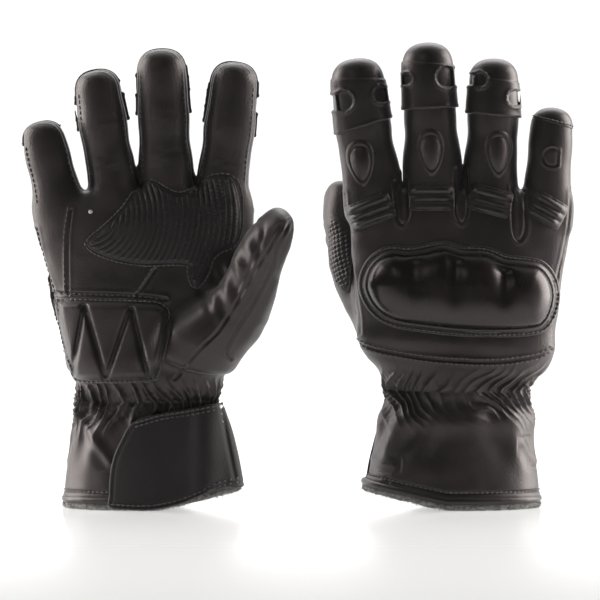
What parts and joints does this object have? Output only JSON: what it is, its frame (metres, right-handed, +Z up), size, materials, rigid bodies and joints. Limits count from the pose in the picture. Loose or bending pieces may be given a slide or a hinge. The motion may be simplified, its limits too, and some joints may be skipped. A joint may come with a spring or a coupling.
{
  "type": "motorcycle riding gloves",
  "caption": "Gauntlet-style riding gloves in dark leather with a moulded knuckle guard, finger guards, grip patch, padded palm heel and a wrist flap, standing on their hems.",
  "frame": {"origin": "on the floor under the middle of the pair", "axes": "+Z up along the fingers, +X across the pair from the glove shown palm first to the glove shown back first, -Y towards the viewer"},
  "size_m": [0.3117, 0.1048, 0.2613],
  "materials": {
    "palm_leather": "soft grained",
    "back_leather": "soft grained",
    "finger_leather": "soft grained",
    "armour": "smooth, slightly shiny",
    "cuff_leather": "smooth",
    "flap": "matte",
    "grip": "raised blocks",
    "knuckle_shell": "moulded, shiny",
    "foam": "foam",
    "lining": "brushed knit",
    "hem_fleece": "fleece edge",
    "elastic": "ribbed elastic",
    "hook_and_loop": "hook and loop tape"
  },
  "bodies": {
    "glove1_cuff": {"glove1_cuff_leather": "cuff_leather", "glove1_cuff_lining": "lining", "glove1_hem_binding": "hem_fleece", "glove1_wrist_gather": "cuff_leather", "glove1_wrist_elastic": "elastic", "glove1_loop_patch": "hook_and_loop"},
    "glove1_flap": {"glove1_closure_flap": "flap", "glove1_hook_patch": "hook_and_loop"},
    "glove1_hand": {"glove1_palm_leather": "palm_leather", "glove1_back_leather": "back_leather", "glove1_hand_lining": "lining", "glove1_thumb_base": "palm_leather", "glove1_stretch_pleats": "back_leather", "glove1_knuckle_shell": "knuckle_shell", "glove1_knuckle_foam": "foam", "glove1_grip_patch": "grip", "glove1_palm_heel_pad": "palm_leather"},
    "glove1_thumb_end": {"glove1_thumb_tip": "palm_leather"},
    "glove1_index_lower": {"glove1_index_base": "finger_leather"},
    "glove1_index_end": {"glove1_index_tip": "finger_leather", "glove1_index_armour": "armour"},
    "glove1_middle_lower": {"glove1_middle_base": "finger_leather"},
    "glove1_middle_end": {"glove1_middle_tip": "finger_leather", "glove1_middle_armour": "armour"},
    "glove1_ring_lower": {"glove1_ring_base": "finger_leather"},
    "glove1_ring_end": {"glove1_ring_tip": "finger_leather", "glove1_ring_armour": "armour"},
    "glove1_little_lower": {"glove1_little_base": "finger_leather"},
    "glove1_little_end": {"glove1_little_tip": "finger_leather", "glove1_little_armour": "armour"},
    "glove2_cuff": {"glove2_cuff_leather": "cuff_leather", "glove2_cuff_lining": "lining", "glove2_hem_binding": "hem_fleece", "glove2_wrist_gather": "cuff_leather", "glove2_wrist_elastic": "elastic", "glove2_loop_patch": "hook_and_loop"},
    "glove2_flap": {"glove2_closure_flap": "flap", "glove2_hook_patch": "hook_and_loop"},
    "glove2_hand": {"glove2_palm_leather": "palm_leather", "glove2_back_leather": "back_leather", "glove2_hand_lining": "lining", "glove2_thumb_base": "palm_leather", "glove2_stretch_pleats": "back_leather", "glove2_knuckle_shell": "knuckle_shell", "glove2_knuckle_foam": "foam", "glove2_grip_patch": "grip", "glove2_palm_heel_pad": "palm_leather"},
    "glove2_thumb_end": {"glove2_thumb_tip": "palm_leather"},
    "glove2_index_lower": {"glove2_index_base": "finger_leather"},
    "glove2_index_end": {"glove2_index_tip": "finger_leather", "glove2_index_armour": "armour"},
    "glove2_middle_lower": {"glove2_middle_base": "finger_leather"},
    "glove2_middle_end": {"glove2_middle_tip": "finger_leather", "glove2_middle_armour": "armour"},
    "glove2_ring_lower": {"glove2_ring_base": "finger_leather"},
    "glove2_ring_end": {"glove2_ring_tip": "finger_leather", "glove2_ring_armour": "armour"},
    "glove2_little_lower": {"glove2_little_base": "finger_leather"},
    "glove2_little_end": {"glove2_little_tip": "finger_leather", "glove2_little_armour": "armour"}
  },
  "joints": [
    {"name": "glove1_wrist", "type": "hinge", "parent": "glove1_cuff", "child": "glove1_hand", "pos_m": [-0.085, 0.0036, 0.0698], "axis": [1, 0, 0], "range_deg": [-20, 20], "stiffness_Nm_per_rad": 2},
    {"name": "glove1_flap_hinge", "type": "hinge", "parent": "glove1_cuff", "child": "glove1_flap", "pos_m": [-0.03512, 0.0036, 0.03], "axis": [-0.206, 0, 0.9785], "range_deg": [0, 110]},
    {"name": "glove1_index_knuckle", "type": "hinge", "parent": "glove1_hand", "child": "glove1_index_lower", "pos_m": [-0.04046, -0.0014, 0.19139], "axis": [0.9945, 0, -0.1045], "range_deg": [0, 60], "stiffness_Nm_per_rad": 0.06},
    {"name": "glove1_index_middle_joint", "type": "hinge", "parent": "glove1_index_lower", "child": "glove1_index_end", "pos_m": [-0.03816, -0.0014, 0.21327], "axis": [0.9945, 0, -0.1045], "range_deg": [0, 60], "stiffness_Nm_per_rad": 0.06},
    {"name": "glove1_middle_knuckle", "type": "hinge", "parent": "glove1_hand", "child": "glove1_middle_lower", "pos_m": [-0.07385, -0.0014, 0.19548], "axis": [0.999, 0, 0.0436], "range_deg": [0, 60], "stiffness_Nm_per_rad": 0.06},
    {"name": "glove1_middle_middle_joint", "type": "hinge", "parent": "glove1_middle_lower", "child": "glove1_middle_end", "pos_m": [-0.07481, -0.0014, 0.21746], "axis": [0.999, 0, 0.0436], "range_deg": [0, 60], "stiffness_Nm_per_rad": 0.06},
    {"name": "glove1_ring_knuckle", "type": "hinge", "parent": "glove1_hand", "child": "glove1_ring_lower", "pos_m": [-0.10538, -0.0014, 0.19229], "axis": [0.989, 0, 0.1478], "range_deg": [0, 60], "stiffness_Nm_per_rad": 0.06},
    {"name": "glove1_ring_middle_joint", "type": "hinge", "parent": "glove1_ring_lower", "child": "glove1_ring_end", "pos_m": [-0.10863, -0.0014, 0.21404], "axis": [0.989, 0, 0.1478], "range_deg": [0, 60], "stiffness_Nm_per_rad": 0.06},
    {"name": "glove1_little_knuckle", "type": "hinge", "parent": "glove1_hand", "child": "glove1_little_lower", "pos_m": [-0.13582, -0.0014, 0.17999], "axis": [0.9724, 0, 0.2334], "range_deg": [0, 60], "stiffness_Nm_per_rad": 0.06},
    {"name": "glove1_little_middle_joint", "type": "hinge", "parent": "glove1_little_lower", "child": "glove1_little_end", "pos_m": [-0.1399, -0.0014, 0.19701], "axis": [0.9724, 0, 0.2334], "range_deg": [0, 60], "stiffness_Nm_per_rad": 0.06},
    {"name": "glove1_thumb_knuckle", "type": "hinge", "parent": "glove1_hand", "child": "glove1_thumb_end", "pos_m": [-0.03002, -0.0327, 0.13812], "axis": [0.2913, -0.8324, -0.4714], "range_deg": [0, 25], "stiffness_Nm_per_rad": 0.06},
    {"name": "glove2_wrist", "type": "hinge", "parent": "glove2_cuff", "child": "glove2_hand", "pos_m": [0.09, 0.0036, 0.0698], "axis": [-1, 0, 0], "range_deg": [-20, 20], "stiffness_Nm_per_rad": 2},
    {"name": "glove2_flap_hinge", "type": "hinge", "parent": "glove2_cuff", "child": "glove2_flap", "pos_m": [0.04012, 0.0036, 0.03], "axis": [0.206, 0, 0.9785], "range_deg": [0, 110]},
    {"name": "glove2_index_knuckle", "type": "hinge", "parent": "glove2_hand", "child": "glove2_index_lower", "pos_m": [0.04262, 0.0086, 0.19335], "axis": [-0.9925, 0, -0.1219], "range_deg": [0, 60], "stiffness_Nm_per_rad": 0.06},
    {"name": "glove2_index_middle_joint", "type": "hinge", "parent": "glove2_index_lower", "child": "glove2_index_end", "pos_m": [0.03994, 0.0086, 0.21519], "axis": [-0.9925, 0, -0.1219], "range_deg": [0, 60], "stiffness_Nm_per_rad": 0.06},
    {"name": "glove2_middle_knuckle", "type": "hinge", "parent": "glove2_hand", "child": "glove2_middle_lower", "pos_m": [0.07548, 0.0086, 0.19847], "axis": [-0.9986, 0, -0.0523], "range_deg": [0, 60], "stiffness_Nm_per_rad": 0.06},
    {"name": "glove2_middle_middle_joint", "type": "hinge", "parent": "glove2_middle_lower", "child": "glove2_middle_end", "pos_m": [0.07433, 0.0086, 0.22044], "axis": [-0.9986, 0, -0.0523], "range_deg": [0, 60], "stiffness_Nm_per_rad": 0.06},
    {"name": "glove2_ring_knuckle", "type": "hinge", "parent": "glove2_hand", "child": "glove2_ring_lower", "pos_m": [0.10817, 0.0086, 0.1975], "axis": [-1, 0, 0.0087], "range_deg": [0, 60], "stiffness_Nm_per_rad": 0.06},
    {"name": "glove2_ring_middle_joint", "type": "hinge", "parent": "glove2_ring_lower", "child": "glove2_ring_end", "pos_m": [0.10836, 0.0086, 0.2195], "axis": [-1, 0, 0.0087], "range_deg": [0, 60], "stiffness_Nm_per_rad": 0.06},
    {"name": "glove2_little_knuckle", "type": "hinge", "parent": "glove2_hand", "child": "glove2_little_lower", "pos_m": [0.13915, 0.0086, 0.18649], "axis": [-0.9994, 0, 0.0349], "range_deg": [0, 60], "stiffness_Nm_per_rad": 0.06},
    {"name": "glove2_little_middle_joint", "type": "hinge", "parent": "glove2_little_lower", "child": "glove2_little_end", "pos_m": [0.13976, 0.0086, 0.20398], "axis": [-0.9994, 0, 0.0349], "range_deg": [0, 60], "stiffness_Nm_per_rad": 0.06},
    {"name": "glove2_thumb_knuckle", "type": "hinge", "parent": "glove2_hand", "child": "glove2_thumb_end", "pos_m": [0.04196, 0.03447, 0.14238], "axis": [-0.3092, 0.8833, -0.3524], "range_deg": [0, 25], "stiffness_Nm_per_rad": 0.06},
    {"name": "glove2_slide", "type": "slide", "parent": "glove1_cuff", "child": "glove2_cuff", "axis": [1, 0, 0], "range_m": [0, 0.06]}
  ]
}
